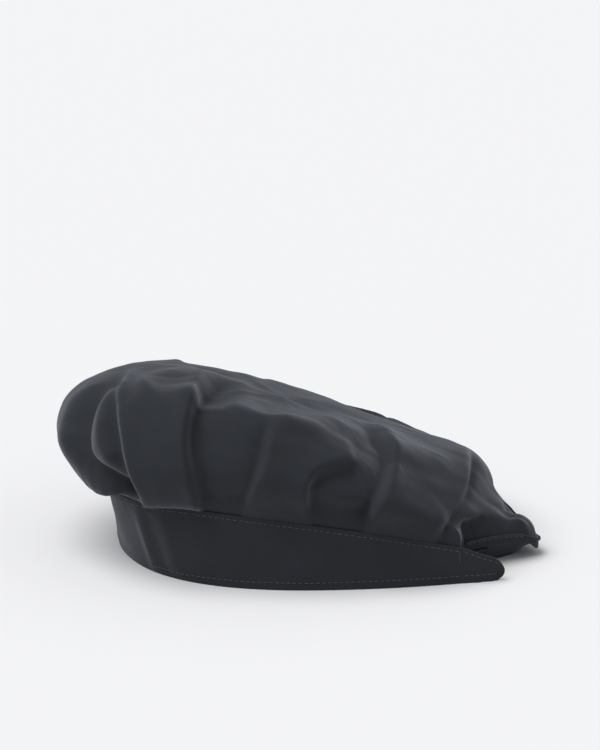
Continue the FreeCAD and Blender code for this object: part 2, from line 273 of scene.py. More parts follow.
def mesh_piece(name, points, faces):
    """A smooth mesh in the scene, made of points and faces, with its normals turned outward."""
    mesh = bpy.data.meshes.new(name)
    mesh.from_pydata(points, [], faces)
    mesh.polygons.foreach_set("use_smooth", [True] * len(mesh.polygons))
    piece = bpy.data.objects.new(name, mesh)
    bpy.context.collection.objects.link(piece)
    bpy.ops.object.select_all(action="DESELECT")
    bpy.context.view_layer.objects.active = piece
    piece.select_set(True)
    bpy.ops.object.mode_set(mode="EDIT")
    bpy.ops.mesh.select_all(action="SELECT")
    bpy.ops.mesh.normals_make_consistent(inside=False)
    bpy.ops.object.mode_set(mode="OBJECT")
    return piece


def shell(name, outer, inner, closed=False):
    """A closed cloth from two grids of points, its face and its back. closed joins the grids' last
    column to their first, and closes their last row, which is a tiny ring."""
    rows, columns = outer.shape[:2]
    number = np.arange(rows * columns).reshape(rows, columns)
    if closed:
        number = np.concatenate([number, number[:, :1]], axis=1)

    def quads(a, b):
        return np.stack([a[:-1, :-1], a[:-1, 1:], b[1:, 1:], b[1:, :-1]], axis=-1).reshape(-1, 4)

    def strip(line):
        back = line + rows * columns
        return np.stack([line[1:], line[:-1], back[:-1], back[1:]], axis=-1)

    face = quads(number, number)
    faces = [face, face[:, ::-1] + rows * columns, strip(number[0])]
    caps = []
    if closed:
        caps = [number[-1, :-1].tolist(), (number[-1, -2::-1] + rows * columns).tolist()]
    else:
        faces += [strip(number[-1])[:, ::-1], strip(number[:, 0])[:, ::-1], strip(number[:, -1])]
    points = np.concatenate([outer.reshape(-1, 3), inner.reshape(-1, 3)])
    piece = mesh_piece(name, points.tolist(), np.concatenate(faces).tolist() + caps)
    bpy.ops.object.shade_smooth_by_angle(angle=CRISP_ANGLE)
    return piece


def lay_weave(piece, along, across):
    """Gives a shell of two equal grids a UV map in metres of cloth, so that the weave follows it."""
    flat = np.stack([along, across], axis=-1).reshape(-1, 2)
    flat = np.concatenate([flat, flat])
    layer = piece.data.uv_layers.new(name="cloth")
    corners = np.zeros(len(piece.data.loops), int)
    piece.data.loops.foreach_get("vertex_index", corners)
    layer.data.foreach_set("uv", flat[corners].ravel())


def band_grids(face, thick, first=0.0, last=1.0, low=None, high=None, rows=26, step=0.0014, tab=False):
    """Face and back grids of one layer of the band. low and high give its edges up the cloth at a share.
    tab runs it on past the root into the free tab."""
    count = int((last - first) * HEM_LENGTH / step)
    share = np.linspace(last, first, count)
    bottom = np.zeros(count) if low is None else low(share)
    top = band_depth(share) if high is None else high(share)
    level = np.linspace(0, 1, rows)[:, None]
    height = bottom + (top - bottom) * level
    grids = [band_place(share, height, sink) for sink in (face, face + thick)]
    along = np.broadcast_to(share * -HEM_LENGTH, height.shape)
    if tab:
        reach = TAB_REACH * np.sin(np.linspace(0, math.pi / 2, TAB_COLUMNS)[1:])
        under, over = tab_span(reach)
        tab_height = under + (over - under) * level
        grids = [np.concatenate([grid, tab_place(reach, tab_height, sink)], axis=1)
                 for grid, sink in zip(grids, (face, face + thick))]
        along = np.concatenate([along, np.broadcast_to(reach, tab_height.shape)], axis=1)
        height = np.concatenate([height, tab_height], axis=1)
    return grids[0], grids[1], along, height


def woven_cloth(name, colour, warp, ribs_mm, slant, depth_mm, sheen, rough=0.82):
    """A dyed woven cloth. ribs_mm is the pitch of its ribs, slant their angle to the strip's length,
    depth_mm the relief of a rib; a finer thread runs across them. Dye takes unevenly, by a few percent,
    and the nap gives a soft sheen where the cloth turns away."""
    material, output = new_material(name)
    flat = add_node(material, "ShaderNodeUVMap", {"uv_map": "cloth"}).outputs["UV"]
    place = add_node(material, "ShaderNodeTexCoord").outputs["Object"]
    turned = add_node(material, "ShaderNodeMapping", {"Rotation": (0, 0, math.radians(slant))},
                      {"Vector": flat})
    wave_scale = 2 * math.pi / 20 / (ribs_mm / 1000)
    ribs = add_node(material, "ShaderNodeTexWave", {
        "bands_direction": "X", "Scale": wave_scale, "Distortion": 0.6, "Detail": 1.0,
        "Detail Scale": 3.0}, {"Vector": turned.outputs["Vector"]})
    threads = add_node(material, "ShaderNodeTexNoise", {
        "Scale": 1000 / ribs_mm, "Detail": 2.0, "Roughness": 0.6}, {"Vector": flat})
    dye = add_node(material, "ShaderNodeTexNoise", {"Scale": 60.0, "Detail": 5.0}, {"Vector": place})
    height = add_node(material, "ShaderNodeMix", {"data_type": "FLOAT", "Factor": 0.35})
    material.node_tree.links.new(ribs.outputs["Fac"], height.inputs[2])
    material.node_tree.links.new(threads.outputs["Fac"], height.inputs[3])
    bump = add_node(material, "ShaderNodeBump", {"Strength": 0.6, "Distance": depth_mm / 1000},
                    {"Height": height.outputs[0]})
    tone = add_node(material, "ShaderNodeMix", {"data_type": "RGBA"}, {"Factor": dye.outputs["Fac"]})
    tone.inputs[6].default_value = linear(colour, 0.90)
    tone.inputs[7].default_value = linear(warp, 1.0)
    # Painted shade: the colour is darkened to 0.8 where the finer thread's noise is high, standing for shade
    # in the weave's valleys.
    valley = add_node(material, "ShaderNodeMix", {"data_type": "RGBA", "blend_type": "MULTIPLY"},
                      {"Factor": threads.outputs["Fac"]})
    material.node_tree.links.new(tone.outputs[2], valley.inputs[6])
    valley.inputs[7].default_value = (0.80, 0.80, 0.80, 1.0)
    shader = add_node(material, "ShaderNodeBsdfPrincipled", {
        "Roughness": rough, "Specular IOR Level": 0.35, "Sheen Weight": sheen, "Sheen Roughness": 0.40,
        "Sheen Tint": linear("#C8CCD8")},
        {"Base Color": valley.outputs[2], "Normal": bump.outputs["Normal"]})
    material.node_tree.links.new(shader.outputs[0], output.inputs["Surface"])
    return material


# Charcoal polycotton twill: its 0.5 mm ribs are drawn 1.1 mm apart, or they would be lost at this size.
outer_twill = woven_cloth("charcoal_polycotton_twill", "#202429", "#272B32", 1.1, 63.0, 0.10, 0.42)


def blend_at_root(piece):
    """Cloth that runs on from the band into the tab, which bends at the tab's root: its placement is baked
    into its points.
    """
    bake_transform(piece)


face, back, along, across = band_grids(0.0, CLOTH, tab=True, rows=30, step=0.0010)
band_cloth = shell("band_cloth", face, back)
lay_weave(band_cloth, along, across)
band_cloth.data.materials.append(outer_twill)
blend_at_root(band_cloth)
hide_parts("band_outer", "tab_outer")

# The crown.
# One oval of the same twill, its edge laid in deep box pleats and sewn into the band. It has slumped:
# high and hanging over the band at the front, low over the closure at the back, its top fallen away
# from the near side.

CROWN_MIDDLE = np.array([-0.0088, -0.0003])
CROWN_COLUMNS = 440
CROWN_ROWS = 106
CROWN_CUT = (0.34, 0.28)
CROWN_CLOTH = 0.0006
# the crown's reach in mm to the front, the back and the side of its middle, and how square its plan is
PUFF_FRONT = 117.5
PUFF_BACK = 122.0
PUFF_SIDE = 84.0
PLAN_POWER = 2.4
# where the crown runs flat over the back opening, and how far round it the folds fade, in mm
OPENING_PLACE = (88, -56)
OPENING_CALM = 17
# the sewn edge lies just below the band's top edge and just behind its face, and a little is tucked in
SEAM_BELOW = 0.0006
SEAM_BEHIND = 0.0008
TUCK = 0.0040


def sewn_edge():
    """The crown's sewn edge: the band's top edge, closed by a free edge across the back opening."""
    share = np.linspace(0, 1, 900)
    edge = band_place(share, band_depth(share) - SEAM_BELOW, SEAM_BEHIND)
    bridge = np.linspace(0, 1, 30)[1:-1, None]
    ring = np.concatenate([edge, edge[-1] + (edge[0] - edge[-1]) * bridge, edge[:1]])
    run = np.concatenate([[0], np.cumsum(np.linalg.norm(np.diff(ring, axis=0), axis=1))])
    nearness = 1 + 0.9 * ease((0.01 - ring[1:, 1]) / 0.05)
    closeness = np.cumsum(np.concatenate([[0], np.diff(run) * nearness]))
    even = np.interp(np.linspace(0, closeness[-1], CROWN_COLUMNS + 1)[:-1], closeness, run)
    return np.stack([np.interp(even, run, column) for column in ring.T], axis=1)


def top_height(x, y):
    """Height of the crown's top, in mm for a place in mm: it falls to the back and the far side."""
    ridge = np.interp(x, [-126, -118, -110, -100, -90, -80, -60, -50, -29, 0, 25, 51, 75, 89, 104],
                      [74, 81, 87, 94, 98, 100, 96.5, 94, 90.5, 82.5, 73.5, 62, 56, 53.5, 45])
    return ridge - 0.11 * (y + 58) * ease((x + 125) / 60) - 0.0040 * np.maximum(y - 20, 0) ** 2


def crown_body():
    """The slumped crown without its folds, in mm: rings of points from the seam to the middle."""
    seam = sewn_edge() * 1000
    middle = CROWN_MIDDLE * 1000
    away = seam[:, :2] - middle
    radius = np.linalg.norm(away, axis=1)
    away /= radius[:, None]
    front = np.clip(-away[:, 0], 0, 1) ** 2.2
    back = np.clip(away[:, 0], 0, 1) ** 4.0
    side = 1 - front - back
    far = ease(away[:, 1] * 2 + 0.5)
    half_length = np.where(away[:, 0] < 0, PUFF_FRONT, PUFF_BACK)
    puff = ((np.abs(away[:, 0]) / half_length) ** PLAN_POWER
            + (np.abs(away[:, 1]) / PUFF_SIDE) ** PLAN_POWER) ** (-1 / PLAN_POWER)
    rise = seam[:, 2]
    wide = [
        radius,
        radius + front * 11 + side * 4 - back * 5,
        puff * (1.0 * front + 1.0 * side + 0.90 * back),
        puff * (0.84 * front + (0.74 + 0.03 * far) * side + 0.80 * back),
        puff * 0.48,
        puff * 0.002,
    ]
    place = [middle + away * w[:, None] for w in wide]
    shoulder = top_height(place[3][:, 0], place[3][:, 1])
    tall = [
        rise,
        rise + front * -2 + side * np.minimum(0.30 * (shoulder - rise), 9) + back * 8,
        front * 62 + side * (rise + 0.50 * (shoulder - rise)) + back * 29,
        front * (87 - 0.14 * place[3][:, 1]) + side * (shoulder - 1.5) + back * 44,
        top_height(place[4][:, 0], place[4][:, 1]),
        top_height(place[5][:, 0], place[5][:, 1]),
    ]
    at = np.array([0, 0.12, 0.32, 0.56, 0.78, 1.0])
    keys = np.stack([np.column_stack([p, t]) for p, t in zip(place, tall)])
    slopes = np.gradient(keys, at, axis=0)
    slopes[0] = (keys[1] - keys[0]) / (at[1] - at[0])
    slopes[-1] = keys[-1] - keys[-2]
    fine = np.linspace(0, 1, CROWN_ROWS)
    k = np.clip(np.searchsorted(at, fine, side="right") - 1, 0, len(at) - 2)
    gap = (at[k + 1] - at[k])[:, None, None]
    t = (fine - at[k])[:, None, None] / gap
    return ((2 * t ** 3 - 3 * t ** 2 + 1) * keys[k] + (t ** 3 - 2 * t ** 2 + t) * gap * slopes[k]
            + (3 * t ** 2 - 2 * t ** 3) * keys[k + 1] + (t ** 3 - t ** 2) * gap * slopes[k + 1])


def outward_of(grid):
    """Outward directions of a grid of rings."""
    around = np.roll(grid, -1, axis=1) - np.roll(grid, 1, axis=1)
    normal = np.cross(around, np.gradient(grid, axis=0))
    normal /= np.maximum(np.linalg.norm(normal, axis=2, keepdims=True), 1e-9)
    return normal * np.sign(normal[-8:, :, 2].mean())


def line_distance(u, v, points):
    """Signed distance from a fold's line, positive to its right as it runs down to the seam, and the
    share of the line's length at the nearest place."""
    points = smooth_curve(points, 40)
    best = np.full(u.shape, 1e9)
    signed = np.zeros(u.shape)
    share = np.zeros(u.shape)
    for k in range(len(points) - 1):
        start = points[k]
        step = points[k + 1] - start
        t = np.clip(((u - start[0]) * step[0] + (v - start[1]) * step[1]) / (step @ step), 0, 1)
        du = u - start[0] - t * step[0]
        dv = v - start[1] - t * step[1]
        distance = np.hypot(du, dv)
        closer = distance < best
        best = np.where(closer, distance, best)
        side = np.where(step[0] * dv - step[1] * du >= 0, 1.0, -1.0)
        signed = np.where(closer, side * distance, signed)
        share = np.where(closer, (k + t) / (len(points) - 1), share)
    return signed, share


def pleat_edge(u, v, points, left, right, edge=3.0, top_edge=8.0, top_fade=0.10):
    """Relief of one pleat's edge. left and right are (height, reach) of the cloth on either side. The
    edge rounds out from edge to top_edge, its width in mm, towards the top of its line."""
    signed, share = line_distance(u, v, points)
    left_rise = left[0] * np.exp(np.minimum(signed, 0) / left[1])
    right_rise = right[0] * np.exp(-np.maximum(signed, 0) / right[1])
    width = top_edge + (edge - top_edge) * ease(share / 0.4)
    step = ease(signed / width + 0.5)
    return (left_rise * (1 - step) + right_rise * step) * ease(share / top_fade)


def ridge(u, v, points, height, width):
    """Relief of a soft ridge, or of a valley where height is less than nothing."""
    signed, share = line_distance(u, v, points)
    return height * np.exp(-(signed / width) ** 2) * ease(share / 0.12) * ease((1 - share) / 0.12)


def front_groove(u, v):
    """Relief in mm of the deep groove that curves down inside the hanging front, and of the cloth beside
    it. u runs along the hat and v up it, seen from a little above."""
    rise = ridge(u, v, [(-78, 122), (-94, 115), (-108, 105), (-114.5, 93), (-116.5, 80), (-115.5, 70),
                        (-109, 60.5), (-99, 54), (-88.5, 45.5), (-84, 38)], -11.0, 5.5)
    rise += ridge(u, v, [(-124, 88), (-123, 74), (-117, 61), (-106, 51), (-94, 43), (-89, 39)], 2.5, 4.5)
    return rise + ridge(u, v, [(-95, 109), (-100, 97), (-102, 86), (-101, 76), (-95, 64)], 3.5, 4.5)


def near_folds(u, v):
    """Relief of the near side in mm, seen in the same way."""
    rise = pleat_edge(u, v, [(-86, 117), (-93, 107), (-94.4, 97), (-93.4, 86), (-91.5, 74), (-88, 60),
                             (-82, 45), (-79, 36)], (-3.5, 7), (3.5, 22), 2.0, 3.0)
    rise += pleat_edge(u, v, [(-30, 110), (-41, 109.5), (-48.5, 106), (-53.5, 98), (-56.5, 88), (-57.3, 74),
                              (-55.5, 62), (-51.5, 46), (-49, 36)], (4.5, 15), (-7.0, 17), 2.6, 9.0, 0.16)
    rise += pleat_edge(u, v, [(-13, 88), (-16.5, 80), (-19, 67), (-24, 54), (-29, 41.5), (-32, 34)],
                       (-2.5, 9), (3.2, 13), 2.2, 6.0, 0.25)
    rise += pleat_edge(u, v, [(32, 68), (24, 65), (16, 62.5), (9.5, 60), (5.5, 55), (4.3, 48), (5.6, 36),
                              (6.4, 27)], (3.0, 9), (-5.0, 18), 2.2, 8.0, 0.10)
    rise += pleat_edge(u, v, [(33, 86), (40, 79), (45.5, 71), (46, 62), (42.5, 51), (37.5, 41), (33, 32),
                              (30, 25)], (-6.0, 12), (4.5, 16), 2.2, 5.0, 0.15)
    rise += pleat_edge(u, v, [(84, 60), (82, 53), (77.5, 43), (70, 29), (67, 22)],
                       (1.4, 8), (-1.2, 5), 1.8, 3.0, 0.3)
    rise += pleat_edge(u, v, [(78, 84), (86, 78), (89, 70), (88.8, 60), (86, 51), (81, 43), (75, 33),
                              (71, 24)], (3.0, 8), (-5.0, 14), 2.8, 5.0, 0.15)
    rise += ridge(u, v, [(-86, 102), (-76, 107.5), (-66, 111.5), (-54, 114), (-42, 115)], 2.2, 4.0)
    rise += ridge(u, v, [(-66, 96), (-58, 101.5), (-50, 107.5), (-38, 110.5), (-24, 108)], 2.0, 4.5)
    rise += ridge(u, v, [(-18, 89), (-6, 87.5), (8, 86), (22, 86.5), (32, 83.5), (40, 78), (47, 71.5),
                         (56, 68.5), (68, 65.5), (80, 61)], 2.8, 5.0)
    rise += ridge(u, v, [(-26, 104), (-10, 98), (4, 94.5), (20, 93)], -1.4, 6.0)
    rise += ridge(u, v, [(108, 46), (109, 38), (103, 27), (99, 20)], -2.5, 5.0)
    rise += ridge(u, v, [(111, 37), (117, 35), (124, 32)], 1.6, 4.0)
    return rise


def far_folds(u, v):
    """Relief of the far side in mm, seen from that side in the same way."""
    rise = pleat_edge(u, v, [(-90, 98), (-93, 86), (-90, 66), (-84, 48), (-80, 38)],
                      (-4, 9), (2.8, 18), 2.4, 6.0, 0.3)
    rise += pleat_edge(u, v, [(-58, 96), (-60, 84), (-58, 66), (-54, 50), (-51, 38)],
                       (3.2, 15), (-6, 16), 2.8, 9.0, 0.3)
    rise += pleat_edge(u, v, [(-8, 98), (-17, 82), (-21, 64), (-25, 50), (-27, 38)],
                       (-3.0, 12), (3.6, 16), 2.6, 8.0)
    rise += pleat_edge(u, v, [(24, 88), (13, 76), (9, 60), (13, 44), (15, 34)],
                       (3.2, 13), (-5.5, 17), 3.0, 10.0)
    rise += pleat_edge(u, v, [(40, 80), (50, 66), (49, 50), (44, 36), (42, 26)],
                       (-3.5, 12), (3.4, 14), 2.8, 9.0)
    rise += pleat_edge(u, v, [(72, 72), (83, 58), (82, 44), (76, 30), (73, 20)],
                       (3.0, 12), (-4.5, 13), 3.0, 9.0)
    rise += ridge(u, v, [(-30, 96), (-8, 88), (14, 86), (36, 80)], 1.6, 6.0)
    rise += ridge(u, v, [(-88, 112), (-104, 96), (-109, 76), (-100, 56), (-92, 44)], -7.5, 6.5)
    return rise


def smoothed(field, times):
    """A grid of rings with each value drawn halfway to its neighbours' mean, a few times over."""
    for _ in range(times):
        ahead = np.concatenate([field[1:], field[-1:]])
        behind = np.concatenate([field[:1], field[:-1]])
        mean = (np.roll(field, 1, axis=1) + np.roll(field, -1, axis=1) + ahead + behind) / 4
        field = field + 0.5 * (mean - field)
    return field


body = crown_body()
outwards = outward_of(body)
seen_near = body[..., 2] * math.cos(VIEW_TILT) + (body[..., 1] + 81) * math.sin(VIEW_TILT)
seen_far = body[..., 2] * math.cos(VIEW_TILT) + (81 - body[..., 1]) * math.sin(VIEW_TILT)
near_side = ease((30 - body[..., 1]) / 40)
far_side = ease((body[..., 1] - 42) / 25)
folds = near_folds(body[..., 0], seen_near) * near_side + far_folds(body[..., 0], seen_far) * far_side
folds += front_groove(body[..., 0], seen_near) * ease((-4 - body[..., 1]) / 26)
at_opening = np.hypot(body[..., 0] - OPENING_PLACE[0], body[..., 1] - OPENING_PLACE[1])
folds *= 1 - 0.85 * np.exp(-(at_opening / OPENING_CALM) ** 2)
crumple = np.array([[noise.noise(Vector(p) * 0.045) + 0.5 * noise.noise(Vector(p) * 0.11 + Vector((9, 0, 0)))
                     for p in ring] for ring in body])
ring_share = np.linspace(0, 1, CROWN_ROWS)[:, None]
wall = ease((body[CROWN_ROWS // 2, :, 2] - body[0, :, 2] - 4) / 26)
relief = folds * (0.25 + 0.75 * wall) + 0.9 * crumple
relief *= (0.08 + 0.92 * ease((ring_share + 0.01) / 0.17)) * ease((1 - ring_share) / 0.12)
crown_face = body + outwards * smoothed(relief, 2)[..., None]
crown_face[1:] = smoothed(crown_face, 2)[1:]
crown_face /= 1000
tucked = crown_face[0].copy()
tucked[:, 2] -= TUCK
crown_face = np.concatenate([tucked[None], crown_face])
crown_back = crown_face - outward_of(crown_face) * CROWN_CLOTH
crown_cloth = shell("crown_cloth", crown_face, crown_back, closed=True)
cut_radius = np.concatenate([[1.0], np.linspace(1.0, 0.0, CROWN_ROWS)])[:, None]
turn = np.linspace(0, 2 * math.pi, CROWN_COLUMNS, endpoint=False)
lay_weave(crown_cloth, cut_radius * np.cos(turn) * CROWN_CUT[0] / 2,
          cut_radius * np.sin(turn) * CROWN_CUT[1] / 2)
crown_cloth.data.materials.append(outer_twill)
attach(crown_cloth, "hat")
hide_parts("crown")

# The interfacing.
# Stiff white non-woven cloth fused inside the band, 3 mm short of its edges, so that the band stands.

PLY_GAP = 0.00015
STIFFENER = 0.0006
STIFFENER_INSET = 0.003


def bonded_fibre(name, colour):
    """Non-woven cloth: fibres pressed flat and bonded in small dots, dull white."""
    material, output = new_material(name)
    place = add_node(material, "ShaderNodeTexCoord").outputs["Object"]
    fibres = add_node(material, "ShaderNodeTexNoise", {"Scale": 900.0, "Detail": 4.0}, {"Vector": place})
    dots = add_node(material, "ShaderNodeTexVoronoi", {"Scale": 420.0}, {"Vector": place})
    bump = add_node(material, "ShaderNodeBump", {"Strength": 0.5, "Distance": 0.0001},
                    {"Height": dots.outputs["Distance"]})
    tone = add_node(material, "ShaderNodeMix", {"data_type": "RGBA"}, {"Factor": fibres.outputs["Fac"]})
    tone.inputs[6].default_value = linear(colour, 0.85)
    tone.inputs[7].default_value = linear(colour)
    shader = add_node(material, "ShaderNodeBsdfPrincipled", {"Roughness": 0.9, "Specular IOR Level": 0.3},
                      {"Base Color": tone.outputs[2], "Normal": bump.outputs["Normal"]})
    material.node_tree.links.new(shader.outputs[0], output.inputs["Surface"])
    return material


def band_layer(name, material, nodes, grids):
    """One sewn-in layer of the band, as a cloth that stands for its nodes."""
    face, back, along, across = grids
    piece = shell(name, face, back)
    lay_weave(piece, along, across)
    piece.data.materials.append(material)
    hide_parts(*nodes)
    return piece


inset_share = STIFFENER_INSET / HEM_LENGTH
interfacing = band_layer(
    "interfacing", bonded_fibre("fused_non_woven_interfacing", "#D9D9D4"), ["band_interfacing"],
    band_grids(CLOTH + PLY_GAP, STIFFENER, inset_share, 1 - inset_share,
               lambda s: np.full(s.shape, STIFFENER_INSET),
               lambda s: band_depth(s) - STIFFENER_INSET, rows=12, step=0.0020))
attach(interfacing, "hat")

# The facing.
# The band's inside, a plainer cloth of the same colour, cut as the outer cloth is and running on behind
# the tab. Its edges are turned in against the outer cloth's.

FACING_FACE = CLOTH + STIFFENER + 2 * PLY_GAP
plain_cloth = woven_cloth("plain_weave_polycotton", "#26282C", "#2D2F33", 0.8, 0.0, 0.06, 0.30, 0.88)
facing = band_layer("band_facing_cloth", plain_cloth, ["band_facing", "tab_facing"],
                    band_grids(FACING_FACE, CLOTH, tab=True, rows=16, step=0.0016))
blend_at_root(facing)

# The binding tapes.
# Bias-cut cotton tape folded in half over a raw edge: 14 mm wide, 7 mm when folded. One runs round the
# crown seam inside the top of the band, and a short one along the crown's free edge over the opening.

BINDING_WIDTH = 0.007
BINDING_THICK = 0.0006
BINDING_PLY = 0.00024
BAND_THICK = FACING_FACE + CLOTH
END_INSET = 0.002
bias_tape = woven_cloth("bias_cut_cotton_tape", "#1D1F22", "#25272B", 0.7, 45.0, 0.06, 0.30, 0.85)


def folded_profile(width, inset):
    """A folded tape's cross-section as distances down from its fold and across its thickness, inset from
    its outside by a little."""
    half = BINDING_THICK / 2 - inset
    leaf = np.linspace(width, half + inset, 6)
    bend = np.linspace(0, math.pi, 9)
    down = np.concatenate([leaf, half + inset - half * np.sin(bend[1:-1]), leaf[::-1]])
    cross = np.concatenate([0 * leaf - half, -half * np.cos(bend[1:-1]), 0 * leaf + half])
    return down[:, None], cross[:, None] + BINDING_THICK / 2


end_share = END_INSET / HEM_LENGTH
tape_share = np.linspace(1 - end_share, end_share, 280)
tape_grids = []
for inset in (0.0, BINDING_PLY):
    down, cross = folded_profile(BINDING_WIDTH, inset)
    tape_grids.append(band_place(tape_share, band_depth(tape_share) - down, BAND_THICK + PLY_GAP + cross))
tape_width = np.linspace(0, 2 * BINDING_WIDTH, tape_grids[0].shape[0])[:, None]
seam_binding = band_layer(
    "seam_binding_tape", bias_tape, ["seam_binding"],
    (tape_grids[0], tape_grids[1], np.broadcast_to(tape_share * -HEM_LENGTH, tape_grids[0].shape[:2]),
     np.broadcast_to(tape_width, tape_grids[0].shape[:2])))
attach(seam_binding, "hat")

free_low, free_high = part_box("opening_binding")
free_start = np.array([free_high[0] - BINDING_THICK, free_low[1], free_high[2]])
free_end = np.array([free_low[0], free_high[1], free_low[2] + BINDING_WIDTH])
free_run = np.linspace(0, 1, 24)
free_line = free_start + (free_end - free_start) * free_run[:, None]
OPENING_LENGTH = float(np.linalg.norm(free_end - free_start))
free_grids = []
for inset in (0.0, BINDING_PLY):
    down, cross = folded_profile(BINDING_WIDTH, inset)
    free_grids.append(free_line[None] - np.array([0, 0, 1.0]) * down[..., None]
                      + np.array([1.0, 0, 0]) * (BINDING_THICK - cross)[..., None])
opening_tape = band_layer(
    "opening_binding_tape", bias_tape, ["opening_binding"],
    (free_grids[0], free_grids[1], np.broadcast_to(free_run * OPENING_LENGTH, free_grids[0].shape[:2]),
     np.broadcast_to(tape_width, free_grids[0].shape[:2])))
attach(opening_tape, "hat")

# The sweatband.
# A brushed cotton strip inside the band, where it lies against the forehead. It lies flat on the facing
# and is sewn to it along its top edge.

SWEATBAND_DEPTH = 0.024
SWEATBAND_LIFT = 0.002
SWEATBAND_THICK = 0.0008
brushed_cotton = woven_cloth("brushed_cotton", "#2B2D32", "#3A3D43", 1.4, 0.0, 0.12, 0.55, 0.92)
first_share = TAPER / HEM_LENGTH
last_share = 1 - (TAPER + BACK_STRETCH) / HEM_LENGTH
sweatband = band_layer(
    "sweatband_strip", brushed_cotton, ["sweatband"],
    band_grids(BAND_THICK + PLY_GAP, SWEATBAND_THICK, first_share, last_share,
               lambda s: np.full(s.shape, SWEATBAND_LIFT),
               lambda s: np.full(s.shape, SWEATBAND_LIFT + SWEATBAND_DEPTH), rows=16, step=0.0016))
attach(sweatband, "hat")

# The thread rows.
# Grey polyester thread in lockstitch, about 3 mm to a stitch: below the crown seam, above the hem, on
# round the tab, and along both edges of the loop tape. Each stitch is drawn down at its two holes.

STITCH_PITCH = 0.0030
STITCH_SHARE = 0.74
THREAD = 0.00042
THREAD_SIDES = 6
# how far a thread's middle stands above the cloth
SURFACE = THREAD * 0.28
TOP_ROW = 0.0023
HEM_ROW = 0.0040
ROW_END = 0.001
# the tab's rows start past its root, stop short of its tip and keep apart from each other
TAB_ROW_START = 0.0016
TAB_TOP_ROW = TOP_ROW * 0.8
TAB_TOP_END = TAB_REACH * 0.90
TAB_HEM_END = TAB_REACH * 0.86
TAB_ROW_DROP = 0.0045


def spun_thread(name, colour):
    """Polyester sewing thread: two plies twisted together, with a slight lustre."""
    material, output = new_material(name)
    place = add_node(material, "ShaderNodeTexCoord").outputs["Object"]
    plies = add_node(material, "ShaderNodeTexWave", {"bands_direction": "DIAGONAL", "Scale": 900.0},
                     {"Vector": place})
    tone = add_node(material, "ShaderNodeMix", {"data_type": "RGBA"}, {"Factor": plies.outputs["Fac"]})
    tone.inputs[6].default_value = linear(colour, 0.7)
    tone.inputs[7].default_value = linear(colour, 1.15)
    shader = add_node(material, "ShaderNodeBsdfPrincipled", {
        "Roughness": 0.5, "Specular IOR Level": 0.5, "Sheen Weight": 0.2}, {"Base Color": tone.outputs[2]})
    material.node_tree.links.new(shader.outputs[0], output.inputs["Surface"])
    return material


grey_thread = spun_thread("grey_polyester_thread", "#43474F")


def tube_faces(base, rings, sides):
    """Faces of a closed tube, whose rings of points follow one another from the number base."""
    faces = []
    for k in range(rings - 1):
        for turn in range(sides):
            a = base + k * sides + turn
            b = base + k * sides + (turn + 1) % sides
            faces.append((a, b, b + sides, a + sides))
    faces.append(tuple(base + turn for turn in reversed(range(sides))))
    faces.append(tuple(base + (rings - 1) * sides + turn for turn in range(sides)))
    return faces


def stitch_mesh(name, rows, thread):
    """Stitches as short rounded threads. rows holds each stitch's start, end and outward direction; its
    ends dip into the cloth."""
    thickness = [0.15, 0.8, 1.0, 1.0, 0.8, 0.15]
    lift = [-0.9, -0.1, 0.25, 0.25, -0.1, -0.9]
    points = []
    faces = []
    for start, end, out in rows:
        along = end - start
        side = np.cross(along, out)
        side /= np.linalg.norm(side)
        faces += tube_faces(len(points), len(thickness), THREAD_SIDES)
        for k in range(len(thickness)):
            middle = start + along * k / (len(thickness) - 1) + out * lift[k] * THREAD / 2
            for turn in range(THREAD_SIDES):
                angle = 2 * math.pi * turn / THREAD_SIDES
                spread = side * math.cos(angle) + out * math.sin(angle)
                points.append(middle + spread * THREAD / 2 * thickness[k])
    piece = mesh_piece(name, [tuple(p) for p in points], faces)
    piece.data.materials.append(thread)
    return piece


def stitched_row(place, first, last, rise=0.0):
    """Stitches along a line on the cloth. place gives a point for a distance along and a sink into the
    cloth."""
    count = int(abs(last - first) / STITCH_PITCH)
    starts = np.linspace(first, last, count + 1)[:-1]
    step = (last - first) / count * STITCH_SHARE
    rows = []
    for start in starts:
        a = place(start, -rise)
        b = place(start + step, -rise)
        out = place(start, -rise - 0.001) - a
        rows.append((a, b, out / np.linalg.norm(out)))
    return rows


def on_band(height):
    """A line round the band at a height that is given for a share of its length."""
    return lambda run, sink: band_place(run / HEM_LENGTH, height(run / HEM_LENGTH), sink)


def on_tab(height):
    """A line along the tab at a height that is given for a distance past its root."""
    return lambda run, sink: tab_place(run, height(run), sink)


top_line = on_band(lambda s: band_depth(s) - TOP_ROW)
top_rows = stitched_row(top_line, ROW_END, HEM_LENGTH - ROW_END, SURFACE)
top_stitches = stitch_mesh("crown_topstitching", top_rows, grey_thread)
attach(top_stitches, "hat")
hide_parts("top_stitching")
hem_rows = stitched_row(on_band(lambda s: HEM_ROW), ROW_END, HEM_LENGTH - ROW_END, SURFACE)
hem_stitches = stitch_mesh("hem_topstitching", hem_rows, grey_thread)
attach(hem_stitches, "hat")
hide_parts("hem_stitching")
tab_rows = stitched_row(on_tab(lambda r: tab_span(r)[1] - TAB_TOP_ROW), TAB_ROW_START, TAB_TOP_END, SURFACE)
tab_rows += stitched_row(on_tab(lambda r: np.minimum(HEM_ROW, tab_span(r)[1] - TAB_ROW_DROP)), TAB_ROW_START,
                         TAB_HEM_END, SURFACE)
tab_stitches = stitch_mesh("tab_topstitching", tab_rows, grey_thread)
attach(tab_stitches, "tab")
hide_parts("tab_stitching")

# The hook and loop tapes.
# Woven nylon tapes, hooks inside the free tab and loops on the outside of the underlap. Pressed
# together they close the band round the head.

HINGE_GAP = 0.0012
TAPE_START = 0.004
TAPE_THICK = 0.0009
TAPE_BACK = 0.0004
TAPE_ROW = 0.0012
THREAD_RISE = 0.00025
